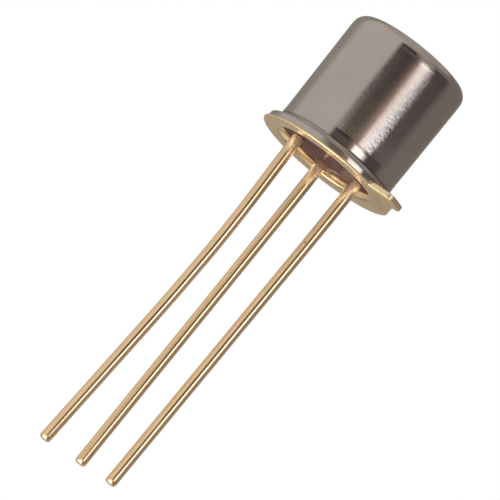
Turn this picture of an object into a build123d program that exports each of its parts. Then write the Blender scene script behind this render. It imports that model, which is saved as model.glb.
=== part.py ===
from build123d import *
import os
from math import cos, pi, radians, sin, sqrt, tan

# Voltage reference in a three-lead metal can, in millimetres.
# +Z points out of the top of the can. The origin is the centre of the seating plane,
# which is the flat underside of the flange. Lead 1 is on +X, lead 2 on +Y, lead 3 on -X.
# The index tab points between lead 1 and the place of the lead that is left out.

# ---- driving dimensions ----

# Cap: a drawn can with a flange at its open end
CAN_HEIGHT = 5.03
CAN_BASE_D = 4.66
CAN_TOP_D = 4.734
CAN_CORNER_R = 0.42
CAP_SHEET = 0.15
CAP_FLANGE_D = 5.30
CAP_FLANGE_T = 0.235
CAP_NECK_R = 0.25
CAP_LIP_BREAK = 0.06
CAP_FOOT_BREAK = 0.03
CAP_CEILING_BREAK = 0.22

# Header eyelet: a flange with a tab, and a cup that stands up inside the can
RIM_D = 5.50
RIM_T = 0.11
RIM_ROLL = 0.05
CUP_BORE_D = 3.96
CUP_SHEET = 0.14
MOUTH_ROUND_R = 0.20
PLATFORM_Z = 1.05
PLATFORM_T = 0.20
SHOULDER_BREAK = 0.12
WINDOW_D = 0.95

# Index tab
TAB_ANGLE = -45
TAB_WIDTH = 0.98
TAB_REACH = 3.53
TAB_T = 0.21
TAB_START = 2.62
TAB_CORNER_R = 0.25
TAB_ROOT_R = 0.32
WELD_SEAM = 0.01

# Glass seal
GLASS_Z = 0.29
GLASS_CREEP = 0.10
GLASS_CREEP_WIDTH = 0.30
LEAD_MENISCUS_WIDTH = 0.17
LEAD_MENISCUS_HEIGHTS = {1: 0.03, 2: 0.12, 3: 0.10}
FLARE_SHARE = 0.35

# Leads
LEAD_D = 0.43
PIN_CIRCLE_D = 2.54
PIN_ANGLES = {1: 0, 2: 90, 3: 180}
POST_Z = PLATFORM_Z + 0.45
POST_EDGE_BREAK = 0.03
TIP_EDGE_BREAK = 0.06
BRAZE_SIZE = 0.17
BRAZE_HOLLOW_SHARE = 0.30
GROUND_LEAD = 3

# Each lead's route below its post, as (offset along X from its place on the pin circle, Z)
LEAD_ROUTES = {
    1: [(-0.040, -1.60), (-0.243, -13.40)],
    2: [(0.000, -2.50), (-0.084, -13.35)],
    3: [(-0.080, -0.30), (-0.016, -3.00), (-0.013, -4.60), (-0.090, -7.10), (-0.450, -13.65)],
}

# Chip, its attachment and its wires
DIE_SIZE = (1.00, 0.90, 0.25)
DIE_ATTACH_MARGIN = 0.07
DIE_ATTACH_T = 0.03
PAD_SIZE = 0.13
PAD_T = 0.01
WIRE_D = 0.05
BALL_D = 0.12
BALL_H = 0.05
STITCH_D = 0.11
STITCH_H = 0.03
STITCH_OFFSET = 0.06
WIRE_LOOP_RISE = 0.26
WIRE_KNEE = 0.45
WIRE_SIDES = 6

# Places on the chip and the platform, as (x, y): one bond pad for each lead, and the ground stitch
PADS = {1: (0.36, -0.10), 2: (0.05, 0.33), 3: (-0.36, 0.08)}
GROUND_STITCH = (-1.05, 0.10)

# ---- sizes worked out from them ----

NEAR = 0.02  # how close a corner or an edge must be to its worked-out place to be picked

lead_r = LEAD_D / 2
rim_r = RIM_D / 2
tab_root_x = sqrt(rim_r**2 - (TAB_WIDTH / 2) ** 2)
cup_bore_r = CUP_BORE_D / 2
cup_outer_r = cup_bore_r + CUP_SHEET
platform_under_z = PLATFORM_Z - PLATFORM_T
cap_flange_r = CAP_FLANGE_D / 2
cap_flange_top_z = RIM_T + CAP_FLANGE_T
can_base_r = CAN_BASE_D / 2
can_top_r = CAN_TOP_D / 2
die_bottom_z = PLATFORM_Z + DIE_ATTACH_T
die_top_z = die_bottom_z + DIE_SIZE[2]
pad_top_z = die_top_z + PAD_T


def pin_place(number):
    """Place of a lead on the pin circle, as (x, y)."""
    angle = radians(PIN_ANGLES[number])
    return PIN_CIRCLE_D / 2 * cos(angle), PIN_CIRCLE_D / 2 * sin(angle)


def seal_place(number):
    """Where a lead's axis passes through the glass, as (x, y)."""
    x, y = pin_place(number)
    return x + LEAD_ROUTES[number][0][0], y


def corner_at(sketch, x, y):
    """The corner of a sketch nearest that place in it."""
    return sketch.vertices().sort_by_distance(Vector(x, y))[0]


def corner_radii(points, share=0.45):
    """Largest tangent arc at each inner corner of a route, from the shorter of its two runs."""
    radii = []
    for before, corner, after in zip(points, points[1:], points[2:]):
        run_in = Vector(*corner) - Vector(*before)
        run_out = Vector(*after) - Vector(*corner)
        turn = radians(run_in.get_angle(run_out))
        radii.append(share * min(run_in.length, run_out.length) / tan(turn / 2))
    return radii


def write(piece, name):
    """Names a finished piece and writes its STEP file."""
    piece.part.label = name
    export_step(piece.part, f"parts/{name}.step")


os.makedirs("parts", exist_ok=True)
seals = {number: seal_place(number) for number in PIN_ANGLES}
insulated = [seals[1], seals[2]]

# ---- cap: one drawn nickel shell ----

with BuildPart() as cap:
    with BuildSketch(Plane.XZ) as cap_section:
        with BuildLine():
            Polyline(
                (can_base_r - CAP_SHEET, RIM_T),
                (cap_flange_r, RIM_T),
                (cap_flange_r, cap_flange_top_z),
                (can_base_r, cap_flange_top_z),
                (can_top_r, CAN_HEIGHT),
                (0, CAN_HEIGHT),
                (0, CAN_HEIGHT - CAP_SHEET),
                (can_top_r - CAP_SHEET, CAN_HEIGHT - CAP_SHEET),
                close=True,
            )
        make_face()
        fillet(corner_at(cap_section, can_top_r, CAN_HEIGHT), CAN_CORNER_R)
        chamfer(corner_at(cap_section, can_top_r - CAP_SHEET, CAN_HEIGHT - CAP_SHEET), CAP_CEILING_BREAK)
        fillet(corner_at(cap_section, can_base_r, cap_flange_top_z), CAP_NECK_R)
        chamfer(corner_at(cap_section, cap_flange_r, cap_flange_top_z), CAP_LIP_BREAK)
        chamfer(corner_at(cap_section, cap_flange_r, RIM_T), CAP_FOOT_BREAK)
    revolve(axis=Axis.Z)
write(cap, "cap")

# ---- header eyelet: one gold-plated stamping ----

tab_plane = Plane.XY.rotated((0, 0, TAB_ANGLE))

with BuildPart() as header_eyelet:
    # rim and tab, cut from one sheet, with the lower edge rolled over by the punch
    with BuildSketch(tab_plane) as rim_outline:
        Circle(rim_r)
        with Locations((TAB_REACH / 2, 0)):
            Rectangle(TAB_REACH, TAB_WIDTH)
        fillet(rim_outline.vertices().group_by(Axis.X)[-1], TAB_CORNER_R)
        roots = rim_outline.vertices().filter_by_position(Axis.X, tab_root_x - NEAR, tab_root_x + NEAR)
        fillet(roots, TAB_ROOT_R)
    extrude(amount=RIM_T)
    underside = header_eyelet.faces().sort_by(Axis.Z)[0]
    chamfer(underside.outer_wire().edges(), RIM_ROLL)
    # the tab keeps the sheet's full thickness, outside the ring that the weld squeezes thinner
    with BuildSketch(tab_plane.offset(RIM_T)):
        add(rim_outline.sketch_local)
        Circle(cap_flange_r + WELD_SEAM, mode=Mode.SUBTRACT)
        with Locations((TAB_START, 0)):
            Rectangle(2 * RIM_D, 2 * RIM_D, align=(Align.MAX, Align.CENTER), mode=Mode.SUBTRACT)
    extrude(amount=TAB_T - RIM_T)
    # the cup is drawn up out of the same sheet
    with BuildSketch(Plane.XZ) as cup_section:
        Rectangle(cup_outer_r, PLATFORM_Z, align=(Align.MIN, Align.MIN))
        chamfer(corner_at(cup_section, cup_outer_r, PLATFORM_Z), SHOULDER_BREAK)
    revolve(axis=Axis.Z)
    with BuildSketch():
        Circle(cup_bore_r)
    extrude(amount=platform_under_z, mode=Mode.SUBTRACT)
    mouth = header_eyelet.edges().filter_by(GeomType.CIRCLE).group_by(Axis.Z)[0].sort_by(SortBy.RADIUS)
    fillet([edge for edge in mouth if abs(edge.radius - cup_bore_r) < NEAR], MOUTH_ROUND_R)
    # windows for the two insulated posts
    with BuildSketch(Plane.XY.offset(platform_under_z)):
        with Locations(*insulated):
            Circle(WINDOW_D / 2)
    extrude(amount=PLATFORM_T, mode=Mode.SUBTRACT)
write(header_eyelet, "header_eyelet")

# ---- ground braze: a fillet that joins the ground lead to the underside of the platform ----

ground_x, ground_y = seals[GROUND_LEAD]

with BuildPart() as ground_braze:
    with BuildSketch(Plane((ground_x, ground_y, 0), x_dir=(1, 0, 0), z_dir=(0, -1, 0))):
        hollow = BRAZE_HOLLOW_SHARE * BRAZE_SIZE
        with BuildLine():
            Polyline(
                (lead_r, platform_under_z),
                (lead_r + BRAZE_SIZE, platform_under_z),
                (lead_r + hollow, platform_under_z - hollow),
                (lead_r, platform_under_z - BRAZE_SIZE),
                close=True,
            )
        make_face()
    revolve(axis=Axis((ground_x, ground_y, 0), (0, 0, 1)))
write(ground_braze, "ground_braze")

# ---- glass seal: fills the cup, creeps down its wall and down each lead ----

with BuildPart() as glass_seal:
    with BuildSketch(Plane.XZ):
        with BuildLine():
            Polyline(
                (0, GLASS_Z),
                (cup_bore_r - GLASS_CREEP_WIDTH, GLASS_Z),
                (cup_bore_r - FLARE_SHARE * GLASS_CREEP_WIDTH, GLASS_Z - FLARE_SHARE * GLASS_CREEP),
                (cup_bore_r, GLASS_Z - GLASS_CREEP),
                (cup_bore_r, platform_under_z),
                (0, platform_under_z),
                (0, GLASS_Z),
            )
        make_face()
    revolve(axis=Axis.Z)
    with BuildSketch(Plane.XY.offset(platform_under_z)):
        with Locations(*insulated):
            Circle(WINDOW_D / 2)
    extrude(amount=PLATFORM_T)
    for number, (x, y) in seals.items():
        rise = LEAD_MENISCUS_HEIGHTS[number]
        flare_r = lead_r + LEAD_MENISCUS_WIDTH
        with BuildSketch(Plane((x, y, 0), x_dir=(1, 0, 0), z_dir=(0, -1, 0))):
            with BuildLine():
                Polyline(
                    (flare_r, GLASS_Z),
                    (flare_r, GLASS_Z + rise),
                    (0, GLASS_Z + rise),
                    (0, GLASS_Z - rise),
                    (lead_r, GLASS_Z - rise),
                    (lead_r + FLARE_SHARE * LEAD_MENISCUS_WIDTH, GLASS_Z - FLARE_SHARE * rise),
                    (flare_r, GLASS_Z),
                )
            make_face()
        revolve(axis=Axis((x, y, 0), (0, 0, 1)))
    with BuildSketch():
        with Locations(*seals.values()):
            Circle(lead_r)
    extrude(amount=PLATFORM_Z, mode=Mode.SUBTRACT)
    add(ground_braze.part, mode=Mode.SUBTRACT)
write(glass_seal, "glass_seal")

# ---- leads: straight runs joined by wide arcs, as handling leaves them ----

for number in PIN_ANGLES:
    x, y = seals[number]
    pin_x = pin_place(number)[0]
    post_top_z = platform_under_z if number == GROUND_LEAD else POST_Z
    route = [(x, y, post_top_z)]
    route += [(pin_x + offset, y, z) for offset, z in LEAD_ROUTES[number]]
    radii = corner_radii(route)
    print(f"lead {number}: bend radii {[round(radius, 1) for radius in radii]} mm")
    with BuildPart() as lead:
        with BuildLine():
            axis_line = FilletPolyline(*route, radius=radii)
        with BuildSketch(Plane(axis_line @ 0, z_dir=axis_line % 0)):
            Circle(lead_r)
        sweep()
        ends = lead.edges().filter_by(GeomType.CIRCLE).sort_by(Axis.Z)
        chamfer(ends[0], TIP_EDGE_BREAK)
        if number != GROUND_LEAD:
            chamfer(lead.edges().filter_by(GeomType.CIRCLE).sort_by(Axis.Z)[-1], POST_EDGE_BREAK)
    section_volume = pi * lead_r**2 * axis_line.length
    print(f"lead {number}: volume {lead.part.volume:.3f}, section times length {section_volume:.3f}")
    write(lead, f"lead_{number}")

# ---- chip and the layer that holds it ----

with BuildPart() as die_attach:
    with BuildSketch(Plane.XY.offset(PLATFORM_Z)) as attach_outline:
        Rectangle(DIE_SIZE[0] + 2 * DIE_ATTACH_MARGIN, DIE_SIZE[1] + 2 * DIE_ATTACH_MARGIN)
        chamfer(attach_outline.vertices(), DIE_ATTACH_MARGIN)
    extrude(amount=DIE_ATTACH_T)
write(die_attach, "die_attach")

with BuildPart() as die:
    with BuildSketch(Plane.XY.offset(die_bottom_z)):
        Rectangle(DIE_SIZE[0], DIE_SIZE[1])
    extrude(amount=DIE_SIZE[2])
    with BuildSketch(Plane.XY.offset(die_top_z)):
        with Locations(*PADS.values()):
            Rectangle(PAD_SIZE, PAD_SIZE)
    extrude(amount=PAD_T)
write(die, "die")

# ---- bond wires: a ball on the chip's pad, a loop, and a pressed stitch at the far end ----

wire_ends = {
    1: (seals[1][0] - STITCH_OFFSET, seals[1][1], POST_Z),
    2: (seals[2][0], seals[2][1] - STITCH_OFFSET, POST_Z),
    3: (GROUND_STITCH[0], GROUND_STITCH[1], PLATFORM_Z),
}

for number, (end_x, end_y, end_z) in wire_ends.items():
    pad_x, pad_y = PADS[number]
    loop_z = max(pad_top_z, end_z) + WIRE_LOOP_RISE
    pad = Vector(pad_x, pad_y, 0)
    knee = pad + (Vector(end_x, end_y, 0) - pad) * WIRE_KNEE
    wire_route = [
        (pad_x, pad_y, pad_top_z + BALL_H / 2),
        (pad_x, pad_y, loop_z),
        (knee.X, knee.Y, loop_z),
        (end_x, end_y, end_z + STITCH_H / 2),
    ]
    with BuildPart() as bond_wire:
        with BuildLine():
            wire_line = Polyline(*wire_route)
        with BuildSketch(Plane(wire_line @ 0, z_dir=wire_line % 0)):
            RegularPolygon(WIRE_D / 2, WIRE_SIDES)
        sweep(transition=Transition.RIGHT)
        with BuildSketch(Plane.XY.offset(pad_top_z)):
            with Locations((pad_x, pad_y)):
                Circle(BALL_D / 2)
        extrude(amount=BALL_H)
        with BuildSketch(Plane.XY.offset(end_z)):
            with Locations((end_x, end_y)):
                Circle(STITCH_D / 2)
        extrude(amount=STITCH_H)
    write(bond_wire, f"bond_wire_{number}")
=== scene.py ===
from math import acos, atan2, cos, hypot, pi, radians, sin, tan

import bmesh
import bpy
from mathutils import Matrix, Vector, noise
from mathutils.geometry import delaunay_2d_cdt


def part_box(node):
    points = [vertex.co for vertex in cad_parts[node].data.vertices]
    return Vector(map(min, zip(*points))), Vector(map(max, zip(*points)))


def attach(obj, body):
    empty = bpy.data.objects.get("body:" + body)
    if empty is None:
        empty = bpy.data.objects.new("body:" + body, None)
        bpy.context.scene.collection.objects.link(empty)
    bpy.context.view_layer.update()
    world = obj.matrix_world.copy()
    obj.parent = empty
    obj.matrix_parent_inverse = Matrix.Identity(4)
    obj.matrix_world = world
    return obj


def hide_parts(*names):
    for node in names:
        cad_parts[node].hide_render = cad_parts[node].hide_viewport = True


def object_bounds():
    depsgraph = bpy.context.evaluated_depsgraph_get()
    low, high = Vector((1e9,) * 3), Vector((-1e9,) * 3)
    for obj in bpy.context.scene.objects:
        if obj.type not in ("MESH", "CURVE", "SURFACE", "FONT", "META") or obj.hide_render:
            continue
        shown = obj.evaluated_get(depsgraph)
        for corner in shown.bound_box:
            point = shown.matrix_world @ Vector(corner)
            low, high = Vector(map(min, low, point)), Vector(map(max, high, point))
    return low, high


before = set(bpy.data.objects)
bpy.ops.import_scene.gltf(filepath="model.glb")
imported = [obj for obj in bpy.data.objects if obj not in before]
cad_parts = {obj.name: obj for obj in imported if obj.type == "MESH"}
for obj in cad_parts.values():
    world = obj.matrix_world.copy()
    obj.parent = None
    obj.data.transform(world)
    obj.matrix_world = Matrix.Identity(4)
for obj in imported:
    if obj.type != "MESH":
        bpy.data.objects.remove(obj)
cad_low, cad_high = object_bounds()

# Voltage reference in a three-lead metal can. Lengths below are in millimetres and go through MM
# when a mesh is made. +Z points out of the top of the can, and the seating plane is z = 0.

MM = 0.001

# ---- sizes read from the frame ----


def box_mm(node):
    """Lowest and highest corner of a CAD node, in millimetres."""
    low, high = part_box(node)
    return low / MM, high / MM


cap_low, cap_high = box_mm("cap")
eyelet_low, eyelet_high = box_mm("header_eyelet")
glass_high = box_mm("glass_seal")[1]

CAN_HEIGHT = cap_high.z
CAP_FLANGE_R = -cap_low.x
RIM_T = cap_low.z
RIM_R = -eyelet_low.x
PLATFORM_Z = eyelet_high.z
CUP_BORE_R = glass_high.x

# ---- sizes of the details ----

# Can
CAN_BASE_R = 2.33
CAN_TOP_R = 2.367
CAN_CORNER_R = 0.42
CAP_SHEET = 0.15
CAP_FLANGE_T = 0.235
CAP_NECK_R = 0.205
CAP_LIP_R = 0.07
CAP_FOOT_R = 0.008
EASE_R = 2.6               # the wall eases into its neck and its corner
EASE_LEAN = 0.028
NECK_EASE_Z = 0.84
CORNER_EASE_Z = 4.50
CAN_UNEVENNESS = 0.003     # left by the drawing

# Rim: a flat underside, a slight curve up, then a slanted and a rounded edge
RIM_FLAT_INSET = 0.20
RIM_DOME_WIDTH = 0.12
RIM_DOME_HEIGHT = 0.010
RIM_SLANT_WIDTH = 0.036
RIM_SLANT_HEIGHT = 0.044
RIM_SLANT_END = 0.004
RIM_EDGE_RADII = [0.35, 0.14]
RIM_TOP_WIDTH = 0.080
RIM_TOP_HEIGHT = 0.064
RIM_TOP_LEAST = 0.01       # of flat left between its edge and the weld seam
WELD_SEAM = 0.002
WELD_SEAM_LEAN = 0.001

# Index tab, along +X until it is turned to its angle
TAB_ANGLE = radians(-45)
TAB_HALF_WIDTH = 0.49
TAB_REACH = 3.53
TAB_T = 0.21
TAB_CORNER_R = 0.25
TAB_ROOT_R = 0.05
TAB_ROOT_ANGLE = radians(-15.9)      # where its side that widens inward meets the rim
TAB_ROOT_LEAD_IN = radians(2.5)
TAB_SHOULDER_ANGLE = radians(38.5)   # beside its other side the rim runs straight, square to this
TAB_SHOULDER_REACH = 2.717
TAB_STEP_START = 2.635     # where the rim's thickness starts to grow to the tab's
TAB_STEP = 0.12
TAB_ROOT_STEP = 0.01       # its lower edge changes at once at its root
TAB_NOTCH_FADE = 0.04      # how far its thickness runs out into the shoulder
TAB_TOP_BREAK = 0.015
TAB_FAR_BREAK = 0.055      # more at its far corner
TAB_SLANT_SHARE = 0.4      # its lower edge is sharper than the rim's

# Cup and its mouth
CUP_SHEET = 0.14
CUP_STEP_TOP_Z = 0.60      # behind the glass the wall steps in to the mouth
CUP_STEP_FOOT_Z = 0.45
MOUTH_CENTRE = (-0.091, 0.010)       # the mouth was pierced a little off centre
MOUTH_R = 1.875
MOUTH_ROUND_R = 0.18
MOUTH_ROUND_HEIGHT = 0.34
MOUTH_CONE_R = 2.19        # past the round, it falls away gently to here
MOUTH_CONE_HEIGHT = 0.02
MOUTH_CONE_BREAK = 0.03
PLATFORM_T = 0.20
UNDER_Z = PLATFORM_Z - PLATFORM_T    # the platform's underside
SHOULDER_R = 0.12
WINDOW_R = 0.475

# Leads
LEAD_R = 0.215
LEAD_TIP_ROUND = 0.10
LEAD_HEAD_BREAK = 0.03
LEAD_UNEVENNESS = 0.006
PIN_CIRCLE_R = 1.27
PIN_ANGLES = {1: 0, 2: 90, 3: 180}
GROUND_LEAD = 3
POST_Z = PLATFORM_Z + 0.45
LEAD_BEND_SHARE = 0.45     # a bend takes up this much of the shorter run beside it

# Each lead's route below its post: offset along X from its place on the pin circle, and z
LEAD_ROUTES = {
    1: [(-0.040, -1.60), (-0.243, -13.40)],
    2: [(0.000, -2.50), (-0.084, -13.35)],
    3: [(-0.080, -0.30), (-0.016, -3.00), (-0.013, -4.60), (-0.090, -7.10), (-0.450, -13.65)],
}

# Glass
GLASS_Z = 0.29
GLASS_UNEVENNESS = 0.016
GLASS_CREEP = 0.035
GLASS_CREEP_WIDTH = 0.30
GLASS_FIT = 0.002          # between the glass and the metal round it
GLASS_BITE = 0.004         # its edge lies this far inside each lead, so that no gap shows
GLASS_WALL_R = CUP_BORE_R - GLASS_FIT
GLASS_BORE_R = LEAD_R - GLASS_BITE
CHIP_CENTRE = (1.21, 1.78)           # a chipped place at the wall, with a raised edge
CHIP_R = 0.86
CHIP_DEPTH = 0.03
CHIP_EDGE_HEIGHT = 0.055
CHIP_EDGE_WIDTH = 0.08
MENISCUS_HEIGHTS = {1: 0.05, 2: 0.27, 3: 0.10}
MENISCUS_WIDTH = 0.117
MENISCUS_CURVE = 2.2
BRAZE_SIZE = 0.17

# How finely the meshes are cut
TURNS = 288                # columns round the can and the rim
GLASS_SIDES = 56           # round each bore of the glass
GLASS_WALL_SIDES = 240
CHIP_SIDES = 130
WINDOW_SIDES = 64
LEAD_SIDES = 40
WALL_RUN = 0.12            # longest run up the can
TAB_RUN = 0.05
PLATFORM_RUN = 0.3
LEAD_RUN = 0.09
GLASS_GRID = 0.055
GLASS_ROWS = 0.87          # distance of its rows, as a share of its points'
WALL_CLEAR = 0.22          # the even grid starts this far from the wall
BORE_CLEAR = 0.20
BORE_TEST = 0.995          # a face whose middle is nearer than this share of a radius lies in the hole
LID_TEST = 0.985

# Denser points in the glass, as (distance, how many)
WALL_RINGS = [(0.012, 240), (0.03, 240), (0.055, 216), (0.09, 192), (0.13, 176), (0.18, 160)]
BORE_RINGS = [(0.012, 56), (0.028, 56), (0.05, 56), (0.08, 56), (0.115, 48), (0.16, 48)]
CHIP_RINGS = [-0.06, -0.03, 0, 0.03, 0.06]

FLAT_MARGIN = 0.009        # points this near the ends of a long run make it shade as flat
FLAT_SHARES = (0.06, 0.94)  # the same on the edge of the rim, as shares of its height
SMALL = 1e-6


# ---- plane curves ----


def rounded(points, radii, steps=8):
    """A plane line through points, with each inner corner rounded to its radius."""
    line = [Vector(points[0])]
    for before, corner, after, radius in zip(points, points[1:], points[2:], radii):
        before, corner, after = Vector(before), Vector(corner), Vector(after)
        way_in, way_out = (before - corner).normalized(), (after - corner).normalized()
        half = way_in.angle(way_out) / 2
        bisector = (way_in + way_out).normalized()
        centre = corner + bisector * radius / sin(half)
        start = corner + way_in * radius / tan(half) - centre
        end = corner + way_out * radius / tan(half) - centre
        swing = start.angle(end)
        for i in range(steps + 1):
            share = i / steps
            mixed = (start * sin((1 - share) * swing) + end * sin(share * swing)) / sin(swing)
            line.append(centre + mixed)
    line.append(Vector(points[-1]))
    return line


def divided(line, longest):
    """The same plane line, with its long runs cut into pieces no longer than that."""
    out = [Vector(line[0])]
    for start, end in zip(line, line[1:]):
        start, end = Vector(start), Vector(end)
        count = max(1, round((end - start).length / longest + 0.49))
        out += [start.lerp(end, (i + 1) / count) for i in range(count)]
    return out


def held_flat(line, margin):
    """The same plane line, with a point near both ends of each long run, so that it shades as flat."""
    out = [line[0]]
    for start, end in zip(line, line[1:]):
        length = (end - start).length
        if length > 6 * margin:
            out += [start.lerp(end, margin / length), start.lerp(end, 1 - margin / length)]
        out.append(end)
    return out


def quarter_turn(steps):
    """Steps round an edge, from its side to its top, as shares of its inset and of its drop."""
    angles = [pi / 2 * i / steps for i in range(steps + 1)]
    return [(1 - cos(angle), 1 - sin(angle)) for angle in angles]


def clamped(value):
    return min(max(value, 0.0), 1.0)


def between(share, first, second):
    return first + (second - first) * share


# ---- meshes ----


def new_piece(name, grid):
    """A smooth-shaded object made from a bmesh in millimetres."""
    bmesh.ops.remove_doubles(grid, verts=grid.verts, dist=SMALL)
    bmesh.ops.recalc_face_normals(grid, faces=grid.faces)
    bmesh.ops.scale(grid, vec=(MM, MM, MM), verts=grid.verts)
    mesh = bpy.data.meshes.new(name)
    grid.to_mesh(mesh)
    grid.free()
    for face in mesh.polygons:
        face.use_smooth = True
    piece = bpy.data.objects.new(name, mesh)
    bpy.context.scene.collection.objects.link(piece)
    return piece


def crisp(piece, degrees_limit):
    """Keeps edges that turn by more than that sharp, with smooth shading between them."""
    mesh = piece.data
    grid = bmesh.new()
    grid.from_mesh(mesh)
    for edge in grid.edges:
        if len(edge.link_faces) == 2:
            edge.smooth = edge.calc_face_angle(0) < radians(degrees_limit)
    grid.to_mesh(mesh)
    grid.free()
    return piece


def add_ring(grid, points):
    return [grid.verts.new(point) for point in points]


def bridge(grid, lower, upper):
    """Joins two closed rings, or a ring and a single point, with faces."""
    if len(lower) == 1 and len(upper) == 1:
        return
    count = max(len(lower), len(upper))
    for i in range(count):
        j = (i + 1) % count
        if len(lower) == 1:
            grid.faces.new((lower[0], upper[j], upper[i]))
        elif len(upper) == 1:
            grid.faces.new((lower[i], lower[j], upper[0]))
        else:
            grid.faces.new((lower[i], lower[j], upper[j], upper[i]))


def skin(grid, rings):
    """Faces between each ring and the next."""
    made = [add_ring(grid, ring) for ring in rings]
    for lower, upper in zip(made, made[1:]):
        bridge(grid, lower, upper)


def circle(radius, z, angles, centre=(0, 0)):
    """A level ring of points, or its centre alone where it has no radius."""
    if radius < SMALL:
        return [(centre[0], centre[1], z)]
    return [(centre[0] + radius * cos(a), centre[1] + radius * sin(a), z) for a in angles]


def even_angles(count):
    return [2 * pi * i / count for i in range(count)]


def plan_circle(radius, count, centre=(0, 0)):
    """Evenly spaced points round a centre, in plan."""
    return [Vector(p[:2]) for p in circle(radius, 0, even_angles(count), centre)]


# ---- pieces ----


def build_cap():
    """The drawn can: a lathed shell, with the slight unevenness that drawing leaves."""
    flange_top = RIM_T + CAP_FLANGE_T
    outside = [
        (CAN_BASE_R - CAP_SHEET, RIM_T),
        (CAP_FLANGE_R, RIM_T),
        (CAP_FLANGE_R, flange_top),
        (CAN_BASE_R + EASE_LEAN, flange_top),
        (CAN_BASE_R, NECK_EASE_Z),
        (CAN_TOP_R, CORNER_EASE_Z),
        (CAN_TOP_R - EASE_LEAN, CAN_HEIGHT),
        (0, CAN_HEIGHT),
    ]
    inside = [
        (0, CAN_HEIGHT - CAP_SHEET),
        (CAN_TOP_R - CAP_SHEET, CAN_HEIGHT - CAP_SHEET),
        (CAN_BASE_R - CAP_SHEET, RIM_T),
    ]
    radii = [CAP_FOOT_R, CAP_LIP_R, CAP_NECK_R, EASE_R, EASE_R, CAN_CORNER_R]
    profile = divided(held_flat(rounded(outside, radii, 12), FLAT_MARGIN), WALL_RUN)
    profile += rounded(inside, [CAN_CORNER_R - CAP_SHEET])
    angles = even_angles(TURNS)
    rings = []
    for r, z in profile:
        ring = []
        for x, y, height in circle(r, z, angles):
            direction = Vector((x, y, 0)).normalized() if r > SMALL else Vector((0, 0, 0))
            wave = noise.noise(Vector((x * 0.45, y * 0.45, z * 0.22 + 7.0)))
            ring.append(Vector((x, y, height)) + direction * (wave * CAN_UNEVENNESS))
        rings.append(ring)
    grid = bmesh.new()
    skin(grid, rings)
    return crisp(new_piece("can_shell", grid), 32)


def rim_point(angle):
    return Vector((RIM_R * cos(angle), RIM_R * sin(angle)))


def rim_outline():
    """Outline of the rim and its tab, tab along +X, as points with their inward directions."""
    rim_end = TAB_ROOT_ANGLE - TAB_ROOT_LEAD_IN
    shoulder_end = TAB_SHOULDER_ANGLE + acos(TAB_SHOULDER_REACH / RIM_R)
    shoulder_x = (TAB_SHOULDER_REACH - TAB_HALF_WIDTH * sin(TAB_SHOULDER_ANGLE)) / cos(TAB_SHOULDER_ANGLE)
    corners = [
        rim_point(rim_end),
        rim_point(TAB_ROOT_ANGLE),
        (TAB_REACH, -TAB_HALF_WIDTH),
        (TAB_REACH, TAB_HALF_WIDTH),
        (shoulder_x, TAB_HALF_WIDTH),
        rim_point(shoulder_end),
    ]
    outline = divided(rounded(corners, [TAB_ROOT_R, TAB_CORNER_R, TAB_CORNER_R, TAB_ROOT_R], 10), TAB_RUN)
    rest = 2 * pi + rim_end - shoulder_end
    count = round(TURNS * rest / (2 * pi))
    outline += [rim_point(shoulder_end + rest * i / count) for i in range(1, count)]
    inward = []
    for i, point in enumerate(outline):
        along = outline[(i + 1) % len(outline)] - outline[i - 1]
        inward.append(Vector((-along.y, along.x)).normalized())
    return outline, inward


def mouth_rings(angles):
    """From the middle of the platform's underside down the cup's wall and out round its mouth."""
    mouth = Matrix.Rotation(-TAB_ANGLE, 2) @ Vector(MOUTH_CENTRE)
    rings = [[(0, 0, UNDER_Z)]]
    rings += [circle(r, UNDER_Z, angles) for r in (CUP_BORE_R * 0.5, CUP_BORE_R)]
    rings.append(circle(CUP_BORE_R, CUP_STEP_TOP_Z, angles))
    rings.append(circle(MOUTH_R, CUP_STEP_FOOT_Z, angles, mouth))
    round_height = MOUTH_ROUND_HEIGHT - MOUTH_CONE_HEIGHT
    for inset, drop in quarter_turn(12):
        r, z = MOUTH_R + MOUTH_ROUND_R * inset, MOUTH_CONE_HEIGHT + round_height * drop
        rings.append(circle(r, z, angles, mouth))
    rings.append(circle(MOUTH_CONE_R - MOUTH_CONE_BREAK, 0.1 * MOUTH_CONE_HEIGHT, angles, mouth * 0.5))
    rings.append(circle(MOUTH_CONE_R + MOUTH_CONE_BREAK, 0, angles))
    return rings


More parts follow.
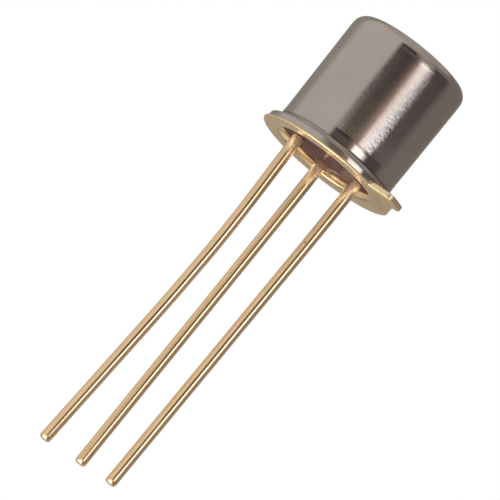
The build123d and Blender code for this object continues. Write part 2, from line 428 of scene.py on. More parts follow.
def edge_rings(outline, inward, angles):
    """From the rim's flat underside round the edge of the rim and its tab to the weld seam."""

    def ring(offsets, heights):
        """A ring at its own distance inside the outline, and its own height, at each point."""
        return [(p.x + n.x * o, p.y + n.y * o, z) for p, n, o, z in zip(outline, inward, offsets, heights)]

    # how far each point of the outline is on the tab, and what its edge is like there
    on_tab = []
    for p in outline:
        past_notch = (TAB_HALF_WIDTH + TAB_NOTCH_FADE - p.y) / TAB_NOTCH_FADE
        on_tab.append(min(clamped((p.x - TAB_STEP_START) / TAB_STEP), clamped(past_notch)))
    tops = [between(share, RIM_T, TAB_T) for share in on_tab]
    slants = []
    for p in outline:
        step = TAB_STEP if p.y > 0 else TAB_ROOT_STEP
        slants.append(between(clamped((p.x - TAB_STEP_START) / step), 1.0, TAB_SLANT_SHARE))
    seam_r = CAP_FLANGE_R + WELD_SEAM
    breaks = [TAB_TOP_BREAK + TAB_FAR_BREAK * clamped(p.y / TAB_HALF_WIDTH) for p in outline]
    drops = [between(share, RIM_TOP_HEIGHT, b) for b, share in zip(breaks, on_tab)]
    widths = [between(share, RIM_TOP_WIDTH, b) for b, share in zip(breaks, on_tab)]
    widths = [min(w, p.length - seam_r - RIM_TOP_LEAST) for w, p in zip(widths, outline)]
    lips = [top - drop for top, drop in zip(tops, drops)]

    slant = [
        (-RIM_FLAT_INSET, 0.0),
        (-RIM_DOME_WIDTH, 0.0),
        (-RIM_SLANT_WIDTH, RIM_DOME_HEIGHT),
        (-RIM_SLANT_END, RIM_SLANT_HEIGHT),
    ]
    rings = []
    for minus_offset, z in rounded(slant, RIM_EDGE_RADII):
        rings.append(ring([-minus_offset * share for share in slants], [z * share for share in slants]))
    for part in FLAT_SHARES:
        foot = RIM_SLANT_HEIGHT * (1 - part)
        heights = [foot * share + lip * part for share, lip in zip(slants, lips)]
        rings.append(ring([0] * len(outline), heights))
    for inset, drop in quarter_turn(6):
        rings.append(ring([w * inset for w in widths], [top - d * drop for top, d in zip(tops, drops)]))
    seam = circle(seam_r + WELD_SEAM_LEAN, 0, angles)
    rings.append([(x, y, top) for (x, y, _), top in zip(seam, tops)])
    rings.append(circle(seam_r, RIM_T, angles))
    return rings


def build_eyelet():
    """The stamped header: rim, index tab, rounded mouth, and the cup that stands in the can."""
    outline, inward = rim_outline()
    angles = [atan2(p.y, p.x) for p in outline]
    rings = mouth_rings(angles) + edge_rings(outline, inward, angles)
    outer_r = CUP_BORE_R + CUP_SHEET
    rings.append(circle(outer_r, RIM_T, angles))
    shoulder = rounded([(outer_r, RIM_T), (outer_r, PLATFORM_Z), (0, PLATFORM_Z)], [SHOULDER_R], 6)
    rings += [circle(r, z, angles) for r, z in divided(shoulder, PLATFORM_RUN)[1:-1]]
    rings.append([(0, 0, PLATFORM_Z)])
    grid = bmesh.new()
    skin(grid, rings)
    bmesh.ops.rotate(grid, verts=grid.verts, matrix=Matrix.Rotation(TAB_ANGLE, 3, "Z"))
    eyelet = crisp(new_piece("eyelet", grid), 40)
    for number in PIN_ANGLES:
        if number != GROUND_LEAD:
            cut_window(eyelet, number)
    return eyelet


def seal_place(number):
    """Where a lead's axis passes through the glass, as (x, y)."""
    angle = radians(PIN_ANGLES[number])
    offset = LEAD_ROUTES[number][0][0]
    return PIN_CIRCLE_R * cos(angle) + offset, PIN_CIRCLE_R * sin(angle)


def cut_window(eyelet, number):
    """Opens the platform round an insulated post."""
    grid = bmesh.new()
    angles = even_angles(WINDOW_SIDES)
    place = seal_place(number)
    foot_z, top_z = PLATFORM_Z - 1.5 * PLATFORM_T, PLATFORM_Z + PLATFORM_T
    skin(grid, [circle(WINDOW_R, z, angles, place) for z in (foot_z, top_z)])
    grid.faces.new(grid.verts[:WINDOW_SIDES])
    grid.faces.new(grid.verts[WINDOW_SIDES:])
    punch = new_piece("punch", grid)
    cut = eyelet.modifiers.new("window", "BOOLEAN")
    cut.operation = "DIFFERENCE"
    cut.solver = "EXACT"
    cut.object = punch
    apply_modifiers(eyelet)
    bpy.data.objects.remove(punch)


def apply_modifiers(piece):
    graph = bpy.context.evaluated_depsgraph_get()
    mesh = bpy.data.meshes.new_from_object(piece.evaluated_get(graph))
    piece.modifiers.clear()
    old = piece.data
    piece.data = mesh
    mesh.name = piece.name
    bpy.data.meshes.remove(old)


def glass_noise(x, y, fineness, layer):
    return noise.noise(Vector((x * fineness, y * fineness, layer)))


def glass_height(x, y):
    """Height of the glass's visible surface: level, creeping down the wall and down each lead."""
    uneven = glass_noise(x, y, 1.1, 3.0) * 0.5 + glass_noise(x, y, 3.2, 5.0) * 0.2
    z = GLASS_Z + GLASS_UNEVENNESS * uneven
    r = hypot(x - MOUTH_CENTRE[0], y - MOUTH_CENTRE[1])
    to_wall = clamped(1 - (MOUTH_R - r) / GLASS_CREEP_WIDTH)
    climb = 1 + 0.5 * glass_noise(x, y, 0.9, 11.0)
    z -= GLASS_CREEP * climb * to_wall**2
    for number in PIN_ANGLES:
        cx, cy = seal_place(number)
        gap = max(0.0, hypot(x - cx, y - cy) - LEAD_R)
        flare = 1 + 0.45 * glass_noise(x + number / 2, y, 2.0, 17.0)
        z -= MENISCUS_HEIGHTS[number] * flare * max(0.0, 1 - gap / MENISCUS_WIDTH) ** MENISCUS_CURVE
    past_edge = CHIP_R - hypot(x - CHIP_CENTRE[0], y - CHIP_CENTRE[1])
    z += CHIP_DEPTH * clamped(past_edge / CHIP_EDGE_WIDTH)
    z -= CHIP_EDGE_HEIGHT * max(0.0, 1 - abs(past_edge) / CHIP_EDGE_WIDTH) ** 1.5
    return z


def glass_points(loops, places):
    """Points of the visible surface: its edges first, then denser rings, then an even grid."""

    def clear(point):
        """True for a point that lies well inside the wall and away from the leads."""
        x, y = point
        gap = min(hypot(x - cx, y - cy) for cx, cy in places) - GLASS_BORE_R
        return gap > BORE_CLEAR and hypot(x, y) < GLASS_WALL_R - WALL_CLEAR

    points = [point for loop in loops for point in loop]
    for gap, count in WALL_RINGS:
        points += plan_circle(GLASS_WALL_R - gap, count)
    for place in places:
        for gap, count in BORE_RINGS:
            points += plan_circle(GLASS_BORE_R + gap, count, place)
    for gap in CHIP_RINGS:
        points += filter(clear, plan_circle(CHIP_R + gap, CHIP_SIDES, CHIP_CENTRE))
    reach = int(GLASS_WALL_R / GLASS_GRID) + 1
    for i in range(-reach, reach + 1):
        for j in range(-reach, reach + 1):
            spot = Vector(((i + 0.5 * (j % 2)) * GLASS_GRID, j * GLASS_GRID * GLASS_ROWS))
            if clear(spot):
                points.append(spot)
    return points


def glass_faces(points, loops, holes):
    """The points in plan, and triangles between them inside the wall and outside each hole.

    The first points are those of the loops, and each hole is (place, radius).
    """
    edges, first = [], 0
    for loop in loops:
        count = len(loop)
        edges += [(first + i, first + (i + 1) % count) for i in range(count)]
        first += count
    plan, _, faces, _, _, _ = delaunay_2d_cdt(points, edges, [], 0, SMALL)
    wanted = []
    for face in faces:
        middle = sum((plan[i] for i in face), Vector((0, 0))) / len(face)
        past_holes = all((middle - Vector(place)).length > radius for place, radius in holes)
        if past_holes and middle.length < GLASS_WALL_R:
            wanted.append(face)
    return plan, wanted


def build_glass():
    """The glass seal: a fine, uneven surface below, plain walls, and plugs round the posts."""
    grid = bmesh.new()
    places = {number: seal_place(number) for number in PIN_ANGLES}
    posts = [number for number in places if number != GROUND_LEAD]

    def wall(lower, ring):
        """A wall from a ring of the mesh to a new one, which it gives back."""
        upper = add_ring(grid, ring)
        bridge(grid, lower, upper)
        return upper

    loops = [plan_circle(GLASS_WALL_R, GLASS_WALL_SIDES)]
    loops += [plan_circle(GLASS_BORE_R, GLASS_SIDES, place) for place in places.values()]
    bores = [(place, GLASS_BORE_R * BORE_TEST) for place in places.values()]
    plan, faces = glass_faces(glass_points(loops, places.values()), loops, bores)
    verts = [grid.verts.new((p.x, p.y, glass_height(p.x, p.y))) for p in plan]
    for face in faces:
        grid.faces.new([verts[i] for i in face])
    # walls, from the edges of the visible surface up to the platform
    first = 0
    tops = {}
    for loop, number in zip(loops, [None, *places]):
        lower = verts[first:first + len(loop)]
        first += len(loop)
        height = PLATFORM_Z if number in posts else UNDER_Z
        upper = [(p.x, p.y, height) for p in loop]
        if number == GROUND_LEAD:
            lower = wall(lower, [(x, y, UNDER_Z - BRAZE_SIZE) for x, y, _ in upper])
            cx, cy = places[number]
            flare = (GLASS_BORE_R + BRAZE_SIZE) / GLASS_BORE_R
            upper = [(cx + (x - cx) * flare, cy + (y - cy) * flare, z) for x, y, z in upper]
        tops[number] = wall(lower, upper)
    # the plugs in the platform's windows, and the flat that lies against the platform
    rings = [tops[None], tops[GROUND_LEAD]]
    for number in posts:
        ring = circle(WINDOW_R - GLASS_FIT, PLATFORM_Z, even_angles(GLASS_SIDES), places[number])
        plug_top = wall(tops[number], ring)
        rings.append(wall(plug_top, [(x, y, UNDER_Z) for x, y, _ in ring]))
    lid = [vert for ring in rings for vert in ring]
    holes = [(places[GROUND_LEAD], (GLASS_BORE_R + BRAZE_SIZE) * LID_TEST)]
    holes += [(places[number], WINDOW_R * LID_TEST) for number in posts]
    _, faces = glass_faces([vert.co.xy for vert in lid], rings, holes)
    for face in faces:
        grid.faces.new([lid[i] for i in face])
    return crisp(new_piece("glass", grid), 50)


def lead_line(number):
    """The lead's axis from its post to its tip, as (x, z) points, straight runs and wide arcs."""
    x, _ = seal_place(number)
    pin_x = PIN_CIRCLE_R * cos(radians(PIN_ANGLES[number]))
    top_z = UNDER_Z if number == GROUND_LEAD else POST_Z
    route = [(x, top_z)] + [(pin_x + offset, z) for offset, z in LEAD_ROUTES[number]]
    radii = []
    for before, corner, after in zip(route, route[1:], route[2:]):
        run_in, run_out = Vector(corner) - Vector(before), Vector(after) - Vector(corner)
        turn = run_in.angle(run_out)
        radii.append(LEAD_BEND_SHARE * min(run_in.length, run_out.length) / tan(turn / 2))
    return divided(rounded(route, radii, 12), LEAD_RUN)


def build_lead(number):
    """A drawn wire: round, faintly uneven, with a softened cut end."""
    y = seal_place(number)[1]
    line = lead_line(number)
    top, tip = line[0], line[-1]
    direction = (tip - line[-2]).normalized()
    spine = [(top, 0), (top, LEAD_R - LEAD_HEAD_BREAK), (top - Vector((0, LEAD_HEAD_BREAK)), LEAD_R)]
    spine += [(p, LEAD_R) for p in line[1:] if p.y > tip.y + LEAD_TIP_ROUND]
    for inset, drop in quarter_turn(8):
        spine.append((tip - direction * LEAD_TIP_ROUND * drop, LEAD_R - LEAD_TIP_ROUND * inset))
    spine.append((tip, 0))
    rings = []
    for i, (point, radius) in enumerate(spine):
        before = spine[max(i - 1, 0)][0]
        after = spine[min(i + 1, len(spine) - 1)][0]
        along = (after - before).normalized() if (after - before).length > SMALL else direction
        across = Vector((-along.y, along.x))
        ring = []
        for a in even_angles(LEAD_SIDES if radius > SMALL else 1):
            uneven = noise.noise(Vector((cos(a) + number * 3, sin(a), point.y * 0.7)))
            r = radius * (1 + LEAD_UNEVENNESS * (uneven - 1))
            side = across * (r * cos(a))
            ring.append((point.x + side.x, y + r * sin(a), point.y + side.y))
        rings.append(ring)
    grid = bmesh.new()
    skin(grid, rings)
    return crisp(new_piece(f"lead_wire_{number}", grid), 50)


# ---- materials ----

OBJECT_TURN = radians(6.49)  # the camera's direction from straight along Y, which the marks follow too
SCUFF_SIDE = -74.5           # azimuth of the middle of the can's scuffed stripe, in degrees


class Material:
    """A node material with one Principled shader, and short ways to add what drives it."""

    def __init__(self, name, **values):
        self.material = bpy.data.materials.new(name)
        self.material.use_nodes = True
        self.tree = self.material.node_tree
        self.shader = self.tree.nodes["Principled BSDF"]
        for socket, value in values.items():
            self.shader.inputs[socket.replace("_", " ")].default_value = value
        self.place = self.node("ShaderNodeTexCoord").outputs["Object"]

    def node(self, kind, **settings):
        made = self.tree.nodes.new(kind)
        for name, value in settings.items():
            setattr(made, name, value)
        return made

    def link(self, source, target):
        self.tree.links.new(source, target)

    def stretched(self, scale):
        """The object's own coordinates, scaled along each axis to cells per metre."""
        mapping = self.node("ShaderNodeMapping")
        mapping.inputs["Scale"].default_value = scale
        self.link(self.place, mapping.inputs["Vector"])
        return mapping.outputs["Vector"]

    def noise(self, cell, detail=3.0, roughness=0.55, squash=(1, 1, 1), distortion=0.0):
        """A noise whose cells are that many millimetres across, stretched by squash."""
        texture = self.node("ShaderNodeTexNoise")
        texture.inputs["Scale"].default_value = 1.0
        texture.inputs["Detail"].default_value = detail
        texture.inputs["Roughness"].default_value = roughness
        texture.inputs["Distortion"].default_value = distortion
        size = cell * MM
        self.link(self.stretched([1 / (size * s) for s in squash]), texture.inputs["Vector"])
        return texture.outputs["Fac"]

    def edge(self, value, start, end):
        """0 up to one value and 1 from another, rising in between."""
        node = self.node("ShaderNodeMapRange")
        node.inputs["From Min"].default_value = start
        node.inputs["From Max"].default_value = end
        self.link(value, node.inputs["Value"])
        return node.outputs["Result"]

    def product(self, first, second):
        both = self.node("ShaderNodeMath", operation="MULTIPLY")
        self.link(first, both.inputs[0])
        self.link(second, both.inputs[1])
        return both.outputs[0]

    def height_band(self, low, high, soft):
        """1 between two heights in millimetres and 0 outside, over a soft edge."""
        split = self.node("ShaderNodeSeparateXYZ")
        self.link(self.place, split.inputs[0])
        z = split.outputs["Z"]
        above = self.edge(z, (low - soft) * MM, (low + soft) * MM)
        return self.product(above, self.edge(z, (high + soft) * MM, (high - soft) * MM))

    def flat_place(self, centre=(0, 0)):
        """The way from an upright axis at that centre, in millimetres, as a level vector."""
        away = self.node("ShaderNodeVectorMath", operation="SUBTRACT")
        away.inputs[1].default_value = (centre[0] * MM, centre[1] * MM, 0)
        self.link(self.place, away.inputs[0])
        level = self.node("ShaderNodeVectorMath", operation="MULTIPLY")
        level.inputs[1].default_value = (1, 1, 0)
        self.link(away.outputs["Vector"], level.inputs[0])
        return level.outputs["Vector"]

    def facing(self, side, half_width, soft):
        """1 on the side of the can that faces that way, in degrees of its own azimuth, fading over soft."""
        outward = self.node("ShaderNodeVectorMath", operation="NORMALIZE")
        self.link(self.flat_place(), outward.inputs[0])
        along = self.node("ShaderNodeVectorMath", operation="DOT_PRODUCT")
        along.inputs[1].default_value = (cos(radians(side)), sin(radians(side)), 0)
        self.link(outward.outputs["Vector"], along.inputs[0])
        outer, inner = cos(radians(half_width + soft)), cos(radians(half_width - soft))
        return self.edge(along.outputs["Value"], outer, inner)

    def outside(self, radius, soft, centre=(0, 0)):
        """1 farther from an upright axis than that radius in millimetres, fading over soft."""
        reach = self.node("ShaderNodeVectorMath", operation="LENGTH")
        self.link(self.flat_place(centre), reach.inputs[0])
        return self.edge(reach.outputs["Value"], (radius - soft) * MM, (radius + soft) * MM)

    def circle_line(self, radius, half_width, centre=(0, 0)):
        """1 on a thin ring round an upright axis and 0 away from it."""
        inner = self.outside(radius - half_width, half_width, centre)
        return self.product(inner, self.outside(radius + half_width, -half_width, centre))

    def spot(self, centre, half_sizes):
        """1 inside an ellipsoid turned like the picture, fading to 0 outside; all in millimetres."""
        mapping = self.node("ShaderNodeMapping", vector_type="TEXTURE")
        mapping.inputs["Location"].default_value = [c * MM for c in centre]
        mapping.inputs["Rotation"].default_value = (0, 0, -OBJECT_TURN)
        mapping.inputs["Scale"].default_value = [s * MM for s in half_sizes]
        self.link(self.place, mapping.inputs["Vector"])
        reach = self.node("ShaderNodeVectorMath", operation="LENGTH")
        self.link(mapping.outputs["Vector"], reach.inputs[0])
        return self.edge(reach.outputs["Value"], 1.25, 0.6)

    def marked(self, base, *marks):
        """A colour with small marks and painted light over it; each is (colour, centre, half sizes)."""
        for colour, centre, half_sizes in marks:
            base = self.mix(self.spot(centre, half_sizes), base, colour)
        return base

    def ramp(self, source, *stops):
        """Maps a value through stops of (place, value or colour)."""
        node = self.node("ShaderNodeValToRGB")
        elements = node.color_ramp.elements
        while len(elements) < len(stops):
            elements.new(1.0)
        for element, (place, value) in zip(elements, stops):
            element.position = place
            element.color = (*value, 1) if isinstance(value, tuple) else (value, value, value, 1)
        self.link(source, node.inputs["Fac"])
        return node.outputs["Color"]

    def mix(self, share, first, second):
        """The first where the share is 0 and the second where it is 1: colours, values or sockets."""
        node = self.node("ShaderNodeMix", data_type="RGBA")
        for socket, value in (("Factor", share), ("A", first), ("B", second)):
            slot = next(s for s in node.inputs if s.name == socket and s.enabled)
            if isinstance(value, tuple):
                slot.default_value = (*value, 1)
            elif isinstance(value, float):
                slot.default_value = value if socket == "Factor" else (value, value, value, 1)
            else:
                self.link(value, slot)
        return next(s for s in node.outputs if s.enabled)

    def colour(self, source):
        self.link(source, self.shader.inputs["Base Color"])

    def roughness(self, source):
        self.link(source, self.shader.inputs["Roughness"])

    def bump(self, *layers):
        """Adds heights one on another; each is (source, height in millimetres)."""
        normal = None
        for source, height in layers:
            node = self.node("ShaderNodeBump")
            node.inputs["Strength"].default_value = 1.0
            node.inputs["Distance"].default_value = height * MM
            self.link(source, node.inputs["Height"])
            if normal:
                self.link(normal, node.inputs["Normal"])
            normal = node.outputs["Normal"]
        self.link(normal, self.shader.inputs["Normal"])


def nickel():
    """Drawn nickel: smooth corner and neck, satin between, a scuffed stripe, and painted shade in the
    crease above the flange.
    """
    m = Material("can_nickel", Metallic=1.0)
    tarnish = m.noise(2.4, 3.0)
    clean = m.ramp(tarnish, (0.3, (0.635, 0.615, 0.60)), (0.7, (0.69, 0.665, 0.64)))
    # painted shade: the crease above the flange is darkened in the colour
    m.colour(m.mix(m.height_band(0.46, 0.55, 0.02), clean, (0.40, 0.37, 0.35)))
    satin = m.height_band(0.98, 4.42, 0.22)
    grain = m.noise(0.12, 3.0, 0.6, (1, 1, 0.45))
    scuffs = m.noise(0.12, 2.0, 0.55, (1, 1, 0.6), 0.3)
    stripe = m.product(satin, m.facing(SCUFF_SIDE, 5.0, 3.5))
    m.roughness(m.mix(satin, 0.07, m.ramp(grain, (0.35, 0.11), (0.7, 0.15))))
    layers = [(m.mix(satin, 0.5, grain), 0.0022), (m.mix(stripe, 0.5, scuffs), 0.0045)]
    m.bump(*layers, (m.noise(0.9, 2.0), 0.003))
    return m.material


def gold_plate(name, low, high, grain_squash=(1, 1, 1)):
    """Gold plate: its material, its clean colour between two, and the grain of the metal under it."""
    m = Material(name, Metallic=1.0)
    m.bump((m.noise(0.7, 1.0), 0.002))
    clean = m.ramp(m.noise(1.1, 3.0), (0.3, low), (0.7, high))
    return m, clean, m.noise(0.25, 2.0, 0.5, grain_squash)


def header_gold():
    """The stamped header: bright mouth with a painted shade line round it, dull on the rim and the edge,
    and painted shade over part of the rim's underside.
    """
    m, clean, grain = gold_plate("header_gold", (0.94, 0.785, 0.52), (1.0, 0.84, 0.57))
    # painted shade: a thin dark ring round the mouth, standing in for the shade of a small step
    line = m.circle_line(MOUTH_R + 0.125, 0.015, MOUTH_CENTRE)
    # painted shade: one side of the rim's underside is darkened in the colour
    painted_shade_rim = m.mix(m.spot((2.3, -1.2, 0), (1.1, 1.5, 0.05)), clean, (0.80, 0.65, 0.41))
    m.colour(m.mix(line, painted_shade_rim, (0.62, 0.42, 0.24)))
    mouth = m.ramp(grain, (0.3, 0.13), (0.7, 0.19))
    rim = m.ramp(grain, (0.3, 0.24), (0.7, 0.31))
    edge = m.ramp(grain, (0.3, 0.34), (0.7, 0.40))
    flat = m.mix(m.outside(MOUTH_R + MOUTH_ROUND_R, 0.03, MOUTH_CENTRE), mouth, rim)
    m.roughness(m.mix(m.outside(RIM_R - 0.06, 0.02), flat, edge))
    return m.material


LEAD_NICKS = [
    ((0.60, 0.44, 0.28), (-1.36, -0.21, -2.58), (0.035, 0.10, 0.04)),
    ((0.60, 0.42, 0.26), (-1.33, -0.21, -4.54), (0.035, 0.10, 0.035)),
    ((0.50, 0.28, 0.15), (1.10, -0.18, -2.56), (0.035, 0.09, 0.045)),
]


def lead_gold():
    """The leads: drawn wire with a few nicks, and paler next to the glass."""
    m, wire, grain = gold_plate("lead_gold", (0.94, 0.73, 0.45), (1.0, 0.79, 0.50), (1, 1, 8))
    root = m.height_band(-0.45, POST_Z + 1.0, 0.4)
    m.colour(m.marked(m.mix(root, wire, (0.95, 0.81, 0.66)), *LEAD_NICKS))
    m.roughness(m.mix(root, m.ramp(grain, (0.3, 0.10), (0.7, 0.18)), 0.30))
    return m.material


GLASS_MARKS_AND_PAINTED_LIGHT = [
    ((0.185, 0.115, 0.085), (0.89, 0.40, GLASS_Z), (0.26, 1.0, 1)),     # painted reflection: a paler part where the glass reflects lighter things
    ((0.60, 0.36, 0.22), (0.02, 1.27, GLASS_Z), (0.23, 0.24, 1)),       # thin over the middle lead's foot, and partly a painted reflection of that lead
    ((0.05, 0.022, 0.02), (-0.08, 0.90, GLASS_Z), (0.17, 0.04, 1)),     # a dark line and a glint before it
    ((0.22, 0.17, 0.14), (-0.10, 0.78, GLASS_Z), (0.14, 0.035, 1)),
    ((0.36, 0.24, 0.19), (-0.20, -0.15, GLASS_Z), (0.045, 0.75, 1)),    # painted reflection of the middle lead: a pale streak
]


def seal_glass():
    """Dark sealing glass, near black with a maroon depth, chipped at one side, with painted highlights and
    reflections on it.
    """
    m = Material("seal_glass", IOR=1.5, Specular_IOR_Level=0.12)
    depth = m.ramp(m.noise(0.7, 3.0), (0.35, (0.084, 0.044, 0.045)), (0.7, (0.115, 0.062, 0.060)))
    near_chip = m.spot((0.42, 1.45, GLASS_Z), (0.45, 0.6, 1))
    # painted highlight along the chip's raised edge
    chip_edge_highlight = m.product(m.circle_line(CHIP_R, 0.05, CHIP_CENTRE), near_chip)
    m.colour(m.mix(chip_edge_highlight, m.marked(depth, *GLASS_MARKS_AND_PAINTED_LIGHT), (0.48, 0.34, 0.29)))
    m.roughness(m.ramp(m.noise(0.25, 2.0), (0.4, 0.45), (0.7, 0.60)))
    m.bump((m.noise(0.22, 2.0), 0.003))
    return m.material


def plain_metal(name, low, high, rough):
    """A metal for the sealed inner pieces."""
    m = Material(name, Metallic=1.0)
    m.colour(m.ramp(m.noise(0.2, 3.0), (0.3, low), (0.7, high)))
    m.roughness(m.ramp(m.noise(0.08), (0.3, rough * 0.8), (0.7, rough * 1.2)))
    m.bump((m.noise(0.05), 0.001))
    return m.material


def silicon():
    """The die: polished silicon with a faint tiling of small blocks."""
    m = Material("silicon", Roughness=0.18, IOR=3.2)
    tiles = m.node("ShaderNodeTexBrick")
    tiles.inputs["Scale"].default_value = 1.0
    tiles.inputs["Brick Width"].default_value = 0.11
    tiles.inputs["Row Height"].default_value = 0.09
    tiles.inputs["Mortar Size"].default_value = 0.012
    tiles.inputs["Color1"].default_value = (0.16, 0.15, 0.17, 1)
    tiles.inputs["Color2"].default_value = (0.22, 0.20, 0.19, 1)
    tiles.inputs["Mortar"].default_value = (0.08, 0.08, 0.10, 1)
    m.link(m.stretched((1 / MM, 1 / MM, 1 / MM)), tiles.inputs["Vector"])
    m.colour(tiles.outputs["Color"])
    m.bump((tiles.outputs["Fac"], 0.002))
    return m.material


# ---- camera, floor and light ----

CAMERA_ELEVATION = radians(-9.60)
CAMERA_ROLL = radians(38.595)
CAMERA_DISTANCE = 308.9
CAMERA_LENS = 642.7
AIM_FROM_MIDDLE = Vector((-0.220, 0.025, 0.349))


def make_camera():
    """The camera looks up at the can from a little below, and is rolled so that the leads run down left."""
    middle = (cad_low + cad_high) / 2 / MM
    middle.x = middle.y = 0
    aim = middle + AIM_FROM_MIDDLE
    up_angle = -CAMERA_ELEVATION
    forward = Vector((sin(OBJECT_TURN) * cos(up_angle), cos(OBJECT_TURN) * cos(up_angle), sin(up_angle)))
    right = Vector((cos(OBJECT_TURN), -sin(OBJECT_TURN), 0))
    up = right.cross(forward)
    turned_right = right * cos(CAMERA_ROLL) + up * sin(CAMERA_ROLL)
    turned_up = up * cos(CAMERA_ROLL) - right * sin(CAMERA_ROLL)
    data = bpy.data.cameras.new("camera")
    data.lens = CAMERA_LENS
    data.sensor_width = 36.0
    data.clip_start = 0.01
    data.clip_end = 10.0
    camera = bpy.data.objects.new("camera", data)
    camera.matrix_world = Matrix((turned_right, turned_up, -forward)).transposed().to_4x4()
    camera.location = (aim - forward * CAMERA_DISTANCE) * MM
    bpy.context.scene.collection.objects.link(camera)
    bpy.context.scene.camera = camera


FLOOR_Z = -0.30
FLOOR_R = 3.0
SET_R = 50.0               # mm from the can's middle to the studio set around it
BAND_STEP = 6              # degrees between the corners of a band

GREY_WALL = (0.545, 0.485, 0.44)
BACK_WALL = (0.29, 0.265, 0.225)
LEFT_EDGE = (0.36, 0.32, 0.30)
FLAG = (0.062, 0.050, 0.048)
FLAG_LEFT = (0.085, 0.072, 0.074)
HIGH_FLAG = (0.125, 0.100, 0.090)
LAMP_WHITE = (1.80, 1.68, 1.58)
COOL_WHITE = (1.75, 1.82, 2.20)
PALE_BACK = (0.45, 0.42, 0.39)
DUSKY = (0.100, 0.074, 0.073)
OLIVE_WALL = (0.213, 0.180, 0.157)
HEAD_GREY = (0.385, 0.325, 0.275)
CEILING = (0.43, 0.375, 0.325)
PAPER_GLOW = (1.9, 1.78, 1.6)
NEAR_GLOW = (3.9, 3.7, 3.5)
LOW_BACK = (0.36, 0.31, 0.27)
FAR_GLOW = (1.4, 1.28, 1.10)
STRIP_HEAD = (0.36, 0.30, 0.285)
STRIP_SIDE = (0.18, 0.14, 0.14)
SOFT_LAMP = (0.90, 0.80, 0.75)
LAMP_EDGE = (0.26, 0.21, 0.20)


def band_glow():
    """The bands' one material, which glows as the corners of each band say."""
    material = bpy.data.materials.get("band_glow")
    if material:
        return material
    material = bpy.data.materials.new("band_glow")
    material.use_nodes = True
    tree = material.node_tree
    tree.nodes.remove(tree.nodes["Principled BSDF"])
    glow = tree.nodes.new("ShaderNodeEmission")
    corners = tree.nodes.new("ShaderNodeAttribute")
    corners.attribute_name = "glow"
    tree.links.new(corners.outputs["Color"], glow.inputs["Color"])
    tree.links.new(glow.outputs["Emission"], tree.nodes["Material Output"].inputs["Surface"])
    return material


def side_direction(side, elevation):
    """Direction from the object: side is degrees to the right of the camera, seen from above."""
    angle = atan2(-cos(OBJECT_TURN), -sin(OBJECT_TURN)) + radians(side)
    e = radians(elevation)
    return Vector((cos(angle) * cos(e), sin(angle) * cos(e), sin(e)))


def band(name, low, high, *stops):
    """A curved strip of the studio set, seen only in reflections.

    It reaches from one elevation to another, and its glow blends from stop to stop; each stop is
    (side, colour).
    """
    grid = bmesh.new()
    glow = grid.verts.layers.float_color.new("glow")
    columns = []
    for (side, colour), (next_side, next_colour) in zip(stops, stops[1:]):
        steps = max(1, round((next_side - side) / BAND_STEP))
        for j in range(steps):
            mixed = Vector(colour).lerp(Vector(next_colour), j / steps)
            columns.append((between(j / steps, side, next_side), mixed))
    columns.append((stops[-1][0], Vector(stops[-1][1])))
    rows = []
    row_count = max(1, round((high - low) / BAND_STEP))
    for i in range(row_count + 1):
        elevation = between(i / row_count, low, high)
        row = []
        for side, colour in columns:
            vert = grid.verts.new(side_direction(side, elevation) * SET_R * MM)
            vert[glow] = (*colour, 1)
            row.append(vert)
        rows.append(row)
    for lower, upper in zip(rows, rows[1:]):
        for j in range(len(columns) - 1):
            grid.faces.new((lower[j], lower[j + 1], upper[j + 1], upper[j]))
    mesh = bpy.data.meshes.new(name)
    grid.to_mesh(mesh)
    grid.free()
    panel = bpy.data.objects.new(name, mesh)
    bpy.context.scene.collection.objects.link(panel)
    mesh.materials.append(band_glow())
    panel.visible_camera = False
    panel.visible_shadow = False


